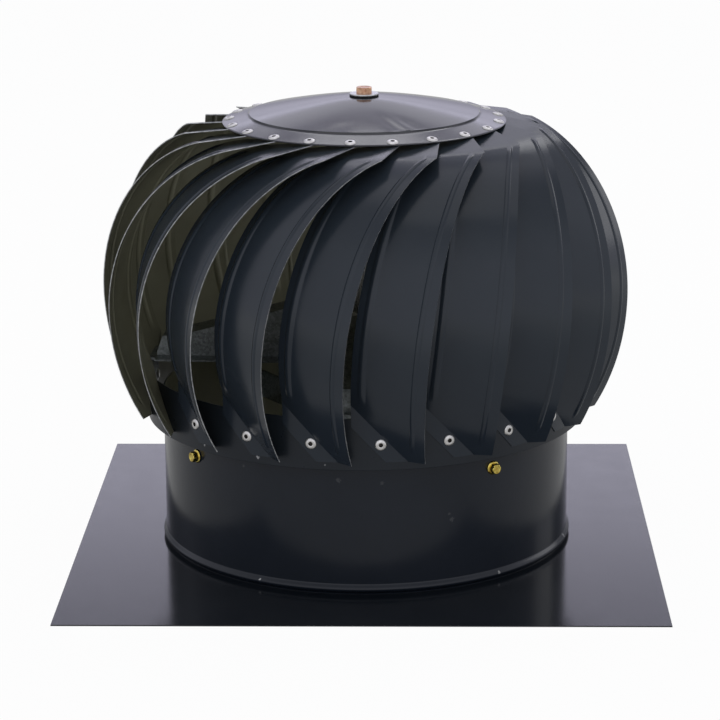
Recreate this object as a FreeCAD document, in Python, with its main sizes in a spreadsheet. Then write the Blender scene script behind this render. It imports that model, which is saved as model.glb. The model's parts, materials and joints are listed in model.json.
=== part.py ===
"""Rotating chimney cowl: a bladed rotor on a vertical shaft above a fixed collar and base plate.

The frame has +Z up. The origin is the centre of the base plate's underside, on the shaft's axis.
Angles are measured about +Z from the front, which faces -Y, and grow towards +X.
"""
import FreeCAD, Part
import math
import os
import re
import Sketcher

# Driving sizes, in millimetres and degrees
SIZES = {
    # base plate and collar
    "plate_margin": 72.5,
    "plate_thickness": 1.0,
    "neck_height": 12.0,
    "neck_clearance": 0.2,
    "collar_radius": 177.5,
    "collar_wall": 1.0,
    "collar_height": 133.0,
    "bead_gap": 0.4,
    "bead_height": 8.2,
    "bead_depth": 2.6,
    # fixed bridge under the rotor, and the screws that hold it to the collar
    "bridge_angle": 34.4,
    "bridge_depth": 25.0,
    "bridge_wall": 3.0,
    "bridge_tab": 22.0,
    "bridge_clearance": 0.1,
    "screw_drop": 34.5,
    "screw_rise": 19.5,
    "screw_offset": 10.0,
    "screw_radius": 2.4,
    "screw_length": 12.0,
    "screw_flats": 8.0,
    "screw_head": 4.5,
    "screw_flange_radius": 5.8,
    "screw_flange": 1.2,
    # shaft, bearings and their housing
    "shaft_radius": 7.5,
    "shaft_step": 2.5,
    "bearing_drop": 1.0,
    "bearing_width": 11.0,
    "bearing_wall": 10.0,
    "bearing_gap": 6.0,
    "inner_ring_wall": 3.5,
    "outer_ring_wall": 3.3,
    "shield_wall": 0.8,
    "fit_clearance": 0.02,
    "shield_clearance": 0.3,
    "housing_wall": 4.5,
    "housing_lip": 3.0,
    "housing_stop": 2.0,
    "shaft_tail": 4.0,
    "snap_ring_wall": 1.2,
    "snap_ring_width": 3.0,
    "snap_groove_depth": 0.5,
    # lower ring of the rotor, which laps over the collar
    "ring_overhang": 13.5,
    "ring_lap": 18.0,
    "ring_wall": 1.0,
    "ring_depth": 40.0,
    "ring_skirt": 3.4,
    # spider inside the rotor
    "spider_angle": -3.3,
    "hub_wall": 6.5,
    "hub_flange_width": 26.0,
    "hub_flange": 4.0,
    "hub_foot": 7.5,
    "nut_flats": 24.0,
    "nut_height": 8.0,
    "arm_lift": 43.0,
    "arm_rise": 44.0,
    "arm_wall": 1.5,
    "arm_width": 32.0,
    "arm_tongue_gap": 4.0,
    "arm_seat": 4.0,
    "arm_flat": 27.0,
    "arm_end_gap": 8.0,
    "arm_end_rise": 4.5,
    "arm_brow_width": 5.0,
    "arm_brow_rise": 14.0,
    "arm_knee_width": 25.0,
    "arm_knee_rise": 3.5,
    "arm_lip": 16.0,
    "arm_lip_inset": 16.0,
    "bracket_width": 40.0,
    "bracket_wall": 2.0,
    "bracket_lift": 6.0,
    "bracket_foot": 24.0,
    "bracket_clearance": 0.1,
    # blades
    "blade_count": 21.0,
    "blade_angle": 4.76,
    "blade_thickness": 0.8,
    "blade_width": 64.0,
    "belly_bulge": 33.5,
    "belly_rise": 101.0,
    "foot_lift": 3.5,
    "foot_gap": 6.7,
    "crown_inset": 29.3,
    "crown_margin": 4.6,
    "edge_offset": 34.0,
    "sweep_radius": 547.0,
    "sweep_lift": 42.0,
    "foot_pitch": 28.7,
    "corner_rise": 144.5,
    "corner_pitch": 5.2,
    "fold_end_angle": 6.7,
    "fold_slant": 5.4,
    "foot_tab_drop": 18.5,
    "foot_tab_end_angle": 1.3,
    "top_tab_lap": 9.7,
    "top_tab_angle": 47.5,
    "top_tab_tail_lap": 13.7,
    "top_tab_tail_angle": 13.4,
    "top_tab_gap": 0.75,
    # top cap with its bolt and washers
    "cap_radius": 121.7,
    "cap_wall": 1.0,
    "cap_lift": 6.3,
    "cap_flange_width": 21.6,
    "cap_flange_rise": 5.1,
    "crease_step": 1.6,
    "crease_width": 1.6,
    "dome_rise": 13.9,
    "dome_shoulder_width": 40.0,
    "dome_shoulder_rise": 7.9,
    "dome_land_margin": 1.5,
    "bolt_radius": 4.0,
    "bolt_length": 22.0,
    "bolt_flats": 13.0,
    "bolt_head": 5.3,
    "bolt_clearance": 0.1,
    "bolt_hole_clearance": 0.3,
    "washer_radius": 12.5,
    "washer_wall": 1.2,
    "seal_wall": 1.2,
    # blind rivets
    "rivet_radius": 4.75,
    "rivet_crown": 3.2,
    "rivet_head": 1.4,
    "foot_rivet_lift": 18.6,
    "cap_rivet_inset": 5.6,
    "cap_rivet_angle": 42.14,
    "bracket_rivet_lift": 19.6,
    "bracket_rivet_offset": 5.3,
    "hub_rivet_inset": 9.0,
    "hub_rivet_spread": 9.0,
}

# Sizes that follow from the driving ones
DERIVED = {
    "plate_side": "2 * (collar_radius + plate_margin)",
    "collar_top": "plate_thickness + collar_height",
    "screw_height": "collar_top - screw_drop",
    "bridge_height": "screw_height - screw_rise",
    "bearing_radius": "shaft_radius + bearing_wall",
    "bearing_height": "bridge_height - bearing_drop",
    "bearing_spacing": "bearing_width + bearing_gap",
    "inner_ring_radius": "shaft_radius + inner_ring_wall",
    "outer_ring_bore": "bearing_radius - outer_ring_wall",
    "shaft_shoulder": "shaft_radius + shaft_step",
    "snap_ring_radius": "shaft_radius - snap_groove_depth + snap_ring_width",
    "ring_radius": "collar_radius + ring_overhang",
    "ring_bottom": "collar_top - ring_lap",
    "arm_bottom": "ring_bottom + arm_lift",
    "arm_top": "arm_bottom + arm_rise",
    "hub_radius": "shaft_radius + hub_wall",
    "hub_flange_radius": "hub_radius + hub_flange_width",
    "hub_height": "arm_top - arm_wall - hub_flange - hub_foot",
    "arm_tongue": "hub_radius + arm_tongue_gap",
    "arm_start": "hub_flange_radius + arm_seat",
    "arm_flat_end": "arm_start + arm_flat",
    "arm_end_radius": "ring_radius - ring_wall - arm_end_gap",
    "arm_end_height": "arm_bottom + arm_end_rise",
    "arm_brow_radius": "arm_end_radius - arm_brow_width",
    "arm_brow_height": "arm_end_height + arm_brow_rise",
    "arm_knee_radius": "arm_brow_radius - arm_knee_width",
    "arm_knee_height": "arm_brow_height + arm_knee_rise",
    "arm_lip_start": "arm_start + arm_lip_inset",
    "bracket_bottom": "ring_bottom + bracket_lift",
    "belly_radius": "ring_radius + belly_bulge",
    "belly_height": "ring_bottom + belly_rise",
    "foot_height": "ring_bottom + foot_lift",
    "foot_inset": "belly_bulge - foot_gap",
    "lower_radius": "((belly_rise - foot_lift) ^ 2 + foot_inset ^ 2) / (2 * foot_inset)",
    "crown_radius": "cap_radius - crown_inset",
    "crown_rise": "corner_rise + crown_margin",
    "sweep_height": "ring_bottom + sweep_lift",
    "corner_height": "belly_height + corner_rise",
    "top_tab_radius": "cap_radius - top_tab_lap",
    "top_tab_tail_radius": "cap_radius - top_tab_tail_lap",
    "cap_edge_height": "corner_height + cap_lift",
    "crease_radius": "cap_radius - cap_flange_width",
    "dome_radius": "crease_radius - crease_width",
    "dome_shoulder_radius": "dome_radius - dome_shoulder_width",
    "dome_land_radius": "washer_radius + dome_land_margin",
    "bolt_hole_radius": "bolt_radius + bolt_hole_clearance",
    "foot_rivet_height": "ring_bottom + foot_rivet_lift",
    "cap_rivet_radius": "cap_radius - cap_rivet_inset",
    "bracket_rivet_height": "ring_bottom + bracket_rivet_lift",
    "bracket_reach": "ring_radius - ring_wall - bracket_foot",
    "hub_rivet_radius": "hub_flange_radius - hub_rivet_inset",
}

FRONT = -90.0
QUARTER = 90.0
QUARTERS = range(4)
FOOT_ROWS = 4
PANEL_ROWS = 14
FOLD_SEARCH_STEPS = 60
ARC_LENGTH_STEPS = 48

doc = FreeCAD.newDocument("rotating_cowl")
sheet = doc.addObject("Spreadsheet::Sheet", "Size")
cells = {name: str(number) for name, number in SIZES.items()}
cells.update({name: "=" + formula for name, formula in DERIVED.items()})
for row, (name, content) in enumerate(cells.items(), start=1):
    sheet.set("A%d" % row, name)
    sheet.set("B%d" % row, content)
    sheet.setAlias("B%d" % row, name)
doc.recompute()

sub_parts = []


def size(name):
    """The value of one size in the sheet."""
    return float(sheet.get(name))


def bound(text):
    """An expression over the sheet: each size name in the text gets the sheet's name before it."""
    return re.sub(r"[a-z][a-z_]*", lambda m: "Size." + m.group() if m.group() in cells else m.group(), text)


def value(text):
    """The present value of an expression over the sheet."""
    return float(sheet.evalExpression(bound(text)))


def point(radius, angle, height):
    """A point given by its distance from the axis, its angle from the front and its height."""
    turn = math.radians(angle)
    return FreeCAD.Vector(radius * math.sin(turn), -radius * math.cos(turn), height)


def turned(angle):
    """A placement turned about the shaft's axis, for pieces that are drawn along +X."""
    return FreeCAD.Placement(FreeCAD.Vector(), FreeCAD.Rotation(FreeCAD.Vector(0, 0, 1), angle + FRONT))


def new_body(label):
    """A new sub-part made by sketches and features."""
    body = doc.addObject("PartDesign::Body", label)
    body.Label = label
    sub_parts.append(body)
    return body


def new_feature(label, shape, placement=FreeCAD.Placement()):
    """A new sub-part with a shape made in code."""
    piece = doc.addObject("Part::Feature", label)
    piece.Label = label
    piece.Shape = shape
    piece.Placement = placement
    sub_parts.append(piece)
    return piece


def origin_item(body, role):
    """One of the body's own origin planes or axes."""
    return [item for item in body.Origin.OriginFeatures if item.Role == role][0]


def pin_point(sketch, item, end, x_text, y_text):
    """Fix one end of a sketch line at a place that follows the sheet."""
    for kind, text in (("DistanceX", x_text), ("DistanceY", y_text)):
        index = sketch.addConstraint(Sketcher.Constraint(kind, -1, 1, item, end, value(text)))
        sketch.setExpression("Constraints[%d]" % index, bound(text))


def new_sketch(body, name, role, lift=None):
    """An empty sketch on one of the body's origin planes, lifted off it if asked."""
    sketch = body.newObject("Sketcher::SketchObject", name)
    sketch.AttachmentSupport = (origin_item(body, role), [""])
    sketch.MapMode = "FlatFace"
    if lift:
        sketch.setExpression("AttachmentOffset.Base.z", bound(lift))
    return sketch


def outline(body, name, role, corners, lift=None):
    """A closed outline of straight lines through corners given as expressions."""
    sketch = new_sketch(body, name, role, lift)
    places = [FreeCAD.Vector(value(x), value(y), 0) for x, y in corners]
    count = len(corners)
    for i, start in enumerate(places):
        sketch.addGeometry(Part.LineSegment(start, places[(i + 1) % count]))
    for i in range(count):
        sketch.addConstraint(Sketcher.Constraint("Coincident", i, 2, (i + 1) % count, 1))
    for i, (x_text, y_text) in enumerate(corners):
        pin_point(sketch, i, 1, x_text, y_text)
    return sketch


def circle(body, name, role, x_text, y_text, radius_text):
    """A sketch of one circle whose centre and radius follow the sheet."""
    sketch = new_sketch(body, name, role)
    centre = FreeCAD.Vector(value(x_text), value(y_text), 0)
    sketch.addGeometry(Part.Circle(centre, FreeCAD.Vector(0, 0, 1), value(radius_text)))
    pin_point(sketch, 0, 3, x_text, y_text)
    index = sketch.addConstraint(Sketcher.Constraint("Radius", 0, value(radius_text)))
    sketch.setExpression("Constraints[%d]" % index, bound(radius_text))
    return sketch


def revolve(body, name, corners):
    """Add an outline of (radius, height) corners, revolved about the vertical axis."""
    feature = body.newObject("PartDesign::Revolution", name)
    feature.Profile = outline(body, name + "_outline", "XZ_Plane", corners)
    feature.ReferenceAxis = (feature.Profile[0], ["V_Axis"])
    feature.Angle = 360
    return feature


def extrude(kind, body, name, sketch, length_text, symmetric=False):
    """Pad or pocket a sketch by a length that follows the sheet."""
    feature = body.newObject("PartDesign::" + kind, name)
    feature.Profile = sketch
    feature.setExpression("Length", bound(length_text))
    if symmetric:
        feature.SideType = "Symmetric"
    return feature


def hexagon(flats):
    """Corners of a hexagon of the given width across its flats."""
    across = "%s / sqrt(3)" % flats
    return [("%s * cos(%d)" % (across, 60 * i), "%s * sin(%d)" % (across, 60 * i)) for i in range(6)]


def turned_piece(label, corners):
    """A sub-part that is one revolved outline."""
    body = new_body(label)
    revolve(body, label + "_turn", corners)
    return body


def base_plate():
    """Square sheet with a round hole and a neck turned up inside the collar."""
    body = new_body("base_plate")
    half = "plate_side / 2"
    square = [("-" + half, "-" + half), (half, "-" + half), (half, half), ("-" + half, half)]
    neck_outer = "collar_radius - collar_wall - neck_clearance"
    neck_inner = neck_outer + " - plate_thickness"
    plan = outline(body, "plate_square", "XY_Plane", square)
    sheet_pad = extrude("Pad", body, "plate_sheet", plan, "plate_thickness")
    doc.recompute()
    round_plan = circle(body, "plate_hole_round", "XY_Plane", "0", "0", neck_inner)
    hole = extrude("Pocket", body, "plate_hole", round_plan, "plate_thickness")
    hole.Reversed = True
    doc.recompute()
    assert hole.Shape.Volume < sheet_pad.Shape.Volume
    revolve(body, "plate_neck", [
        (neck_inner, "0"),
        (neck_outer, "0"),
        (neck_outer, "plate_thickness + neck_height"),
        (neck_inner, "plate_thickness + neck_height"),
    ])


def collar():
    """Sheet tube that stands on the plate, with a rolled bead near its foot and four screw holes."""
    body = new_body("collar")
    outer = "collar_radius"
    inner = "collar_radius - collar_wall"
    foot = "plate_thickness"
    low = "plate_thickness + bead_gap"
    high = low + " + bead_height"
    wall = revolve(body, "collar_wall_turn", [
        (inner, foot),
        (outer, foot),
        (outer, low),
        (outer + " + bead_depth", low + " + bead_depth"),
        (outer + " + bead_depth", high + " - bead_depth"),
        (outer, high),
        (outer, "plate_thickness + collar_height"),
        (inner, "plate_thickness + collar_height"),
        (inner, high),
        (inner + " + bead_depth", high + " - bead_depth"),
        (inner + " + bead_depth", low + " + bead_depth"),
        (inner, low),
    ])
    doc.recompute()
    hole = body.newObject("PartDesign::Pocket", "collar_screw_hole")
    hole.Profile = circle(body, "collar_screw_round", "YZ_Plane", "screw_offset", "screw_height",
                          "screw_radius + bridge_clearance")
    hole.Type = "ThroughAll"
    hole.Reversed = True
    doc.recompute()
    assert hole.Shape.Volume < wall.Shape.Volume
    holes = body.newObject("PartDesign::PolarPattern", "collar_screw_holes")
    holes.Originals = [hole]
    holes.Axis = (origin_item(body, "Z_Axis"), [""])
    holes.Angle = 360
    holes.Occurrences = len(QUARTERS)
    body.Tip = holes
    body.Placement = turned(size("bridge_angle"))


def bridge_arm(number):
    """Flat bar on edge from the bearing housing to the collar, with its end bent along the wall."""
    body = new_body("bridge_arm_%d" % (number + 1))
    root = "bearing_radius + housing_wall + fit_clearance"
    half = "bridge_wall / 2"
    face = "sqrt((collar_radius - collar_wall - bridge_clearance) ^ 2 - bridge_tab ^ 2)"
    corners = [
        (root, "-" + half),
        (face, "-" + half),
        (face, "bridge_tab"),
        (face + " - bridge_wall", "bridge_tab"),
        (face + " - bridge_wall", half),
        (root, half),
    ]
    plan = outline(body, "bridge_plan_%d" % number, "XY_Plane", corners, lift="bridge_height")
    bar = extrude("Pad", body, "bridge_bar_%d" % number, plan, "bridge_depth")
    doc.recompute()
    hole = body.newObject("PartDesign::Pocket", "bridge_hole_%d" % number)
    hole.Profile = circle(body, "bridge_round_%d" % number, "YZ_Plane", "screw_offset", "screw_height",
                          "screw_radius + bridge_clearance")
    hole.Type = "ThroughAll"
    hole.Reversed = True
    doc.recompute()
    assert hole.Shape.Volume < bar.Shape.Volume
    body.Placement = turned(size("bridge_angle") + QUARTER * number)


def bridge_screws():
    """Hex washer-head screws through the collar into the bridge arms."""
    # The flat flange meets the round wall first at the edge that is nearest to the arm
    nearest = size("screw_offset") - size("screw_flange_radius")
    seat = math.sqrt(size("collar_radius") ** 2 - nearest ** 2) + size("fit_clearance")
    corner = FreeCAD.Vector(size("screw_flats") / math.sqrt(3), 0, 0)
    corners = [FreeCAD.Rotation(FreeCAD.Vector(0, 0, 1), 60 * i).multVec(corner) for i in range(6)]
    head = Part.Face(Part.makePolygon(corners + corners[:1]))
    head = head.extrude(FreeCAD.Vector(0, 0, size("screw_flange") + size("screw_head")))
    flange = Part.makeCylinder(size("screw_flange_radius"), size("screw_flange"))
    down = FreeCAD.Vector(0, 0, -1)
    shank = Part.makeCylinder(size("screw_radius"), size("screw_length"), FreeCAD.Vector(), down)
    screw = head.fuse([flange, shank]).removeSplitter()
    screw.Placement = FreeCAD.Placement(FreeCAD.Vector(seat, size("screw_offset"), size("screw_height")),
                                        FreeCAD.Rotation(FreeCAD.Vector(0, 0, 1), FreeCAD.Vector(1, 0, 0)))
    new_feature("bridge_screws", quarter_group(screw, size("bridge_angle")))


def quarter_group(shape, angle):
    """Four copies of a shape drawn along +X, a quarter turn apart, as separate solids."""
    copies = []
    for quarter in QUARTERS:
        copy = shape.copy()
        copy.Placement = turned(angle + QUARTER * quarter).multiply(copy.Placement)
        copies.append(copy)
    return Part.makeCompound(copies)


def bearings():
    """Two shielded ball bearings: outer rings with their shields, and inner rings."""
    for label, low in (("lower", "bearing_height"), ("upper", "bearing_height + bearing_spacing")):
        high = low + " + bearing_width"
        bore = "inner_ring_radius + shield_clearance"
        rim = "bearing_radius - fit_clearance"
        turned_piece(label + "_bearing_outer_ring", [
            (bore, low),
            (rim, low),
            (rim, high),
            (bore, high),
            (bore, high + " - shield_wall"),
            ("outer_ring_bore", high + " - shield_wall"),
            ("outer_ring_bore", low + " + shield_wall"),
            (bore, low + " + shield_wall"),
        ])
        turned_piece(label + "_bearing_inner_ring", [
            ("shaft_radius + fit_clearance", low),
            ("inner_ring_radius", low),
            ("inner_ring_radius", high),
            ("shaft_radius + fit_clearance", high),
        ])


def bearing_housing():
    """Turned tube that carries the bearings on both sides of an inner stop."""
    low = "bearing_height - housing_lip"
    stop_low = "bearing_height + bearing_width"
    stop_high = "bearing_height + bearing_spacing"
    high = "bearing_height + bearing_spacing + bearing_width + housing_lip"
    outer = "bearing_radius + housing_wall"
    turned_piece("bearing_housing", [
        ("bearing_radius", low),
        (outer, low),
        (outer, high),
        ("bearing_radius", high),
        ("bearing_radius", stop_high),
        ("bearing_radius - housing_stop", stop_high),
        ("bearing_radius - housing_stop", stop_low),
        ("bearing_radius", stop_low),
    ])


# Heights of the dome's foot and of its flat land, on the upper face, and of the shaft's end below it
DOME_BASE = "cap_edge_height + cap_flange_rise + crease_step"
DOME_TOP = DOME_BASE + " + dome_rise"
SHAFT_TOP = DOME_TOP + " - cap_wall - fit_clearance"


def shaft():
    """Stepped shaft: bearing seats below, hub seat in the middle, bolt hole under the cap."""
    shoulder = "bearing_height + bearing_spacing + bearing_width"
    groove = "bearing_height - snap_ring_wall"
    turned_piece("shaft", [
        ("0", groove + " - shaft_tail"),
        ("shaft_radius", groove + " - shaft_tail"),
        ("shaft_radius", groove),
        ("shaft_radius - snap_groove_depth", groove),
        ("shaft_radius - snap_groove_depth", "bearing_height"),
        ("shaft_radius", "bearing_height"),
        ("shaft_radius", shoulder),
        ("shaft_shoulder", shoulder),
        ("shaft_shoulder", "hub_height"),
        ("shaft_radius", "hub_height"),
        ("shaft_radius", SHAFT_TOP),
        ("bolt_radius + bolt_clearance", SHAFT_TOP),
        ("bolt_radius + bolt_clearance", SHAFT_TOP + " - bolt_length"),
        ("0", SHAFT_TOP + " - bolt_length"),
    ])
    turned_piece("shaft_snap_ring", [
        ("shaft_radius - snap_groove_depth + fit_clearance", groove + " + fit_clearance"),
        ("snap_ring_radius", groove + " + fit_clearance"),
        ("snap_ring_radius", "bearing_height - fit_clearance"),
        ("shaft_radius - snap_groove_depth + fit_clearance", "bearing_height - fit_clearance"),
    ])


# Height of the hub flange's upper face, under the arms' tongues
HUB_FLANGE_TOP = "arm_top - arm_wall"


def spider_hub():
    """Flanged bush on the shaft's shoulder, and the nut that clamps it."""
    bore = "shaft_radius + fit_clearance"
    top = "arm_top + arm_wall"
    turned_piece("spider_hub", [
        (bore, "hub_height"),
        ("hub_radius", "hub_height"),
        ("hub_radius", HUB_FLANGE_TOP + " - hub_flange"),
        ("hub_flange_radius", HUB_FLANGE_TOP + " - hub_flange"),
        ("hub_flange_radius", HUB_FLANGE_TOP),
        ("hub_radius", HUB_FLANGE_TOP),
        ("hub_radius", top),
        (bore, top),
    ])
    nut = new_body("hub_nut")
    plan = outline(nut, "nut_hexagon", "XY_Plane", hexagon("nut_flats"), lift=top)
    block = extrude("Pad", nut, "nut_block", plan, "nut_height")
    doc.recompute()
    hole = nut.newObject("PartDesign::Pocket", "nut_hole")
    hole.Profile = circle(nut, "nut_round", "XY_Plane", "0", "0", bore)
    hole.Type = "ThroughAll"
    hole.Reversed = True
    doc.recompute()
    assert hole.Shape.Volume < block.Shape.Volume


def spider_arm(number):
    """Folded channel, open below, with a tongue on the hub's flange and lips along its lower edges."""
    body = new_body("spider_arm_%d" % (number + 1))
    tag = "_%d" % number
    side = [
        ("arm_start", "arm_bottom"),
        ("arm_end_radius", "arm_bottom"),
        ("arm_end_radius", "arm_end_height"),
        ("arm_brow_radius", "arm_brow_height"),
        ("arm_knee_radius", "arm_knee_height"),
        ("arm_flat_end", "arm_top"),
        ("arm_start", "arm_top"),
    ]
    inside = [
        ("arm_start - arm_wall", "arm_bottom - arm_wall"),
        ("arm_end_radius - arm_wall", "arm_bottom - arm_wall"),
        ("arm_end_radius - arm_wall", "arm_end_height"),
        ("arm_brow_radius - arm_wall", "arm_brow_height - arm_wall"),
        ("arm_knee_radius", "arm_knee_height - arm_wall"),
        ("arm_flat_end", "arm_top - arm_wall"),
        ("arm_start - arm_wall", "arm_top - arm_wall"),
    ]
    tongue = [
        ("arm_tongue", "arm_top - arm_wall"),
        ("arm_start", "arm_top - arm_wall"),
        ("arm_start", "arm_top"),
        ("arm_tongue", "arm_top"),
    ]
    block_side = outline(body, "arm_side" + tag, "XZ_Plane", side)
    block = extrude("Pad", body, "arm_block" + tag, block_side, "arm_width", symmetric=True)
    doc.recompute()
    hollow_side = outline(body, "arm_inside" + tag, "XZ_Plane", inside)
    hollow_width = "arm_width - 2 * arm_wall"
    channel = extrude("Pocket", body, "arm_channel" + tag, hollow_side, hollow_width, symmetric=True)
    doc.recompute()
    assert channel.Shape.Volume < block.Shape.Volume / 2
    tongue_side = outline(body, "arm_tongue_side" + tag, "XZ_Plane", tongue)
    extrude("Pad", body, "arm_tongue_pad" + tag, tongue_side, "arm_width", symmetric=True)
    for sign, hand in (("", "left"), ("-", "right")):
        near = sign + "(arm_width / 2 - arm_wall)"
        far = sign + "(arm_width / 2 + arm_lip)"
        lip = [
            ("arm_lip_start", near),
            ("arm_end_radius", near),
            ("arm_end_radius", far),
            ("arm_lip_start", far),
        ]
        lip_plan = outline(body, "arm_lip_plan_%s%s" % (hand, tag), "XY_Plane", lip, lift="arm_bottom")
        extrude("Pad", body, "arm_lip_%s%s" % (hand, tag), lip_plan, "arm_wall")
    body.Placement = turned(size("spider_angle") + QUARTER * number)


# Distance from the axis to a bracket's flat face, whose upright edges touch the ring
BRACKET_FACE = "sqrt((ring_radius - ring_wall - bracket_clearance) ^ 2 - (bracket_width / 2) ^ 2)"


def spider_bracket(number):
    """Angle bracket: a foot under the spider arm's end and a plate down the inside of the ring."""
    body = new_body("spider_bracket_%d" % (number + 1))
    section = [
        (BRACKET_FACE, "bracket_bottom"),
        (BRACKET_FACE, "arm_bottom"),
        ("bracket_reach", "arm_bottom"),
        ("bracket_reach", "arm_bottom - bracket_wall"),
        (BRACKET_FACE + " - bracket_wall", "arm_bottom - bracket_wall"),
        (BRACKET_FACE + " - bracket_wall", "bracket_bottom"),
    ]
    side = outline(body, "bracket_side_%d" % number, "XZ_Plane", section)
    extrude("Pad", body, "bracket_angle_%d" % number, side, "bracket_width", symmetric=True)
    body.Placement = turned(size("spider_angle") + QUARTER * number)


def lower_ring():
    """Plain sheet band that the blades' feet are riveted to, with a skirt below them."""
    turned_piece("lower_ring", [
        ("ring_radius - ring_wall", "ring_bottom - ring_skirt"),
        ("ring_radius", "ring_bottom - ring_skirt"),
        ("ring_radius", "ring_bottom + ring_depth"),
        ("ring_radius - ring_wall", "ring_bottom + ring_depth"),
    ])


def top_cap():
    """Pressed cap: a sloping flange over the blades' tops, a step at the crease and a shallow dome."""
    crease_high = "cap_edge_height + cap_flange_rise"
    turned_piece("top_cap", [
        ("cap_radius", "cap_edge_height - cap_wall"),
        ("cap_radius", "cap_edge_height"),
        ("crease_radius", crease_high),
        ("dome_radius", DOME_BASE),
        ("dome_shoulder_radius", DOME_BASE + " + dome_shoulder_rise"),
        ("dome_land_radius", DOME_TOP),
        ("bolt_hole_radius", DOME_TOP),
        ("bolt_hole_radius", DOME_TOP + " - cap_wall"),
        ("dome_land_radius", DOME_TOP + " - cap_wall"),
        ("dome_shoulder_radius", DOME_BASE + " + dome_shoulder_rise - cap_wall"),
        ("dome_radius", DOME_BASE + " - cap_wall"),
        ("crease_radius", crease_high + " - cap_wall"),
    ])


def cap_fixings():
    """Sealing washer, steel washer and hex bolt on top of the cap."""
    hole = "bolt_hole_radius"
    seal_top = DOME_TOP + " + seal_wall"
    washer_top = seal_top + " + washer_wall"
    turned_piece("cap_seal", [
        (hole, DOME_TOP),
        ("washer_radius", DOME_TOP),
        ("washer_radius", seal_top),
        (hole, seal_top),
    ])
    turned_piece("cap_washer", [
        (hole, seal_top),
        ("washer_radius", seal_top),
        ("washer_radius", washer_top),
        (hole, washer_top),
    ])
    body = new_body("cap_bolt")
    head_plan = outline(body, "bolt_hexagon", "XY_Plane", hexagon("bolt_flats"), lift=washer_top)
    extrude("Pad", body, "bolt_head_pad", head_plan, "bolt_head")
    revolve(body, "bolt_shank", [
        ("0", washer_top + " - bolt_length"),
        ("bolt_radius", washer_top + " - bolt_length"),
        ("bolt_radius", washer_top),
        ("0", washer_top),
    ])


def belly_point(lean):
    """Radius, height and outward normal of the rotor's outline at an angle above its widest level."""
    if lean < 0:
        radius = size("belly_radius") - size("lower_radius") * (1 - math.cos(lean))
        height = size("belly_height") + size("lower_radius") * math.sin(lean)
        return radius, height, math.cos(lean), math.sin(lean)
    depth = size("belly_radius") - size("crown_radius")
    rise = size("crown_rise")
    radius = size("crown_radius") + depth * math.cos(lean)
    height = size("belly_height") + rise * math.sin(lean)
    slope = math.hypot(rise * math.cos(lean), depth * math.sin(lean))
    return radius, height, rise * math.cos(lean) / slope, depth * math.sin(lean) / slope


def belly_length(lean):
    """Length along the rotor's outline from the level where the blade's edge is upright."""
    below = math.asin((size("sweep_height") - size("belly_height")) / size("lower_radius"))
    if lean < 0:
        return size("lower_radius") * (lean - below)
    length = -size("lower_radius") * below
    for step in range(ARC_LENGTH_STEPS):
        here = belly_point(lean * step / ARC_LENGTH_STEPS)
        after = belly_point(lean * (step + 1) / ARC_LENGTH_STEPS)
        length += math.hypot(after[0] - here[0], after[1] - here[1])
    return length


FOOT_LEAN = math.asin((size("foot_height") - size("belly_height")) / size("lower_radius"))
CORNER_LEAN = math.asin((size("corner_height") - size("belly_height")) / size("crown_rise"))


def blade_point(lean, across):
    """Middle of the blade's sheet at a level of the outline, at a distance across from its outer edge."""
    radius, height, normal_out, normal_up = belly_point(lean)
    length = belly_length(lean)
    share = (length - belly_length(FOOT_LEAN)) / (belly_length(CORNER_LEAN) - belly_length(FOOT_LEAN))
    pitch = math.radians(size("foot_pitch") + (size("corner_pitch") - size("foot_pitch")) * share)
    sideways = size("edge_offset") + length ** 2 / (2 * size("sweep_radius")) - across * math.cos(pitch)
    depth = across * math.sin(pitch)
    return FreeCAD.Vector(sideways, -(radius - depth * normal_out), height - depth * normal_up)


def flat_faces(loop):
    """Two flat faces that fill a loop of four points."""
    first, second, third, fourth = loop
    return [Part.Face(Part.makePolygon([first, second, third, first])),
            Part.Face(Part.makePolygon([first, third, fourth, first]))]


def folded_sheet(rows):
    """Solid of even thickness whose middle surface runs flat between rows of points."""
    faces = []
    outside = []
    inside = []
    for i, row in enumerate(rows):
        after = rows[min(i + 1, len(rows) - 1)]
        before = rows[max(i - 1, 0)]
        run = (after[0] + after[-1]) - (before[0] + before[-1])
        lift = (row[-1] - row[0]).cross(run).normalize() * (size("blade_thickness") / 2)
        outside.append([corner + lift for corner in row])
        inside.append([corner - lift for corner in row])
    for i in range(len(rows) - 1):
        for j in range(len(rows[i]) - 1):
            for side in (outside, inside):
                faces += flat_faces([side[i][j], side[i][j + 1], side[i + 1][j + 1], side[i + 1][j]])
        for j in (0, -1):
            faces += flat_faces([outside[i][j], outside[i + 1][j], inside[i + 1][j], inside[i][j]])
    for i in (0, -1):
        for j in range(len(rows[i]) - 1):
            faces += flat_faces([outside[i][j], outside[i][j + 1], inside[i][j + 1], inside[i][j]])
    shell = Part.makeShell(faces)
    shell.sewShape()
    solid = Part.makeSolid(shell)
    if solid.Volume < 0:
        solid.reverse()
    return solid


def fold_lean():
    """Level at which the blade's inner edge meets the tab that lies on the ring."""
    seat = size("ring_radius") + size("blade_thickness") / 2
    low, high = FOOT_LEAN, 0.0
    for step in range(FOLD_SEARCH_STEPS):
        middle = (low + high) / 2
        inner = blade_point(middle, size("blade_width"))
        if math.hypot(inner.x, inner.y) < seat:
            low = middle
        else:
            high = middle
    return high


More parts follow.
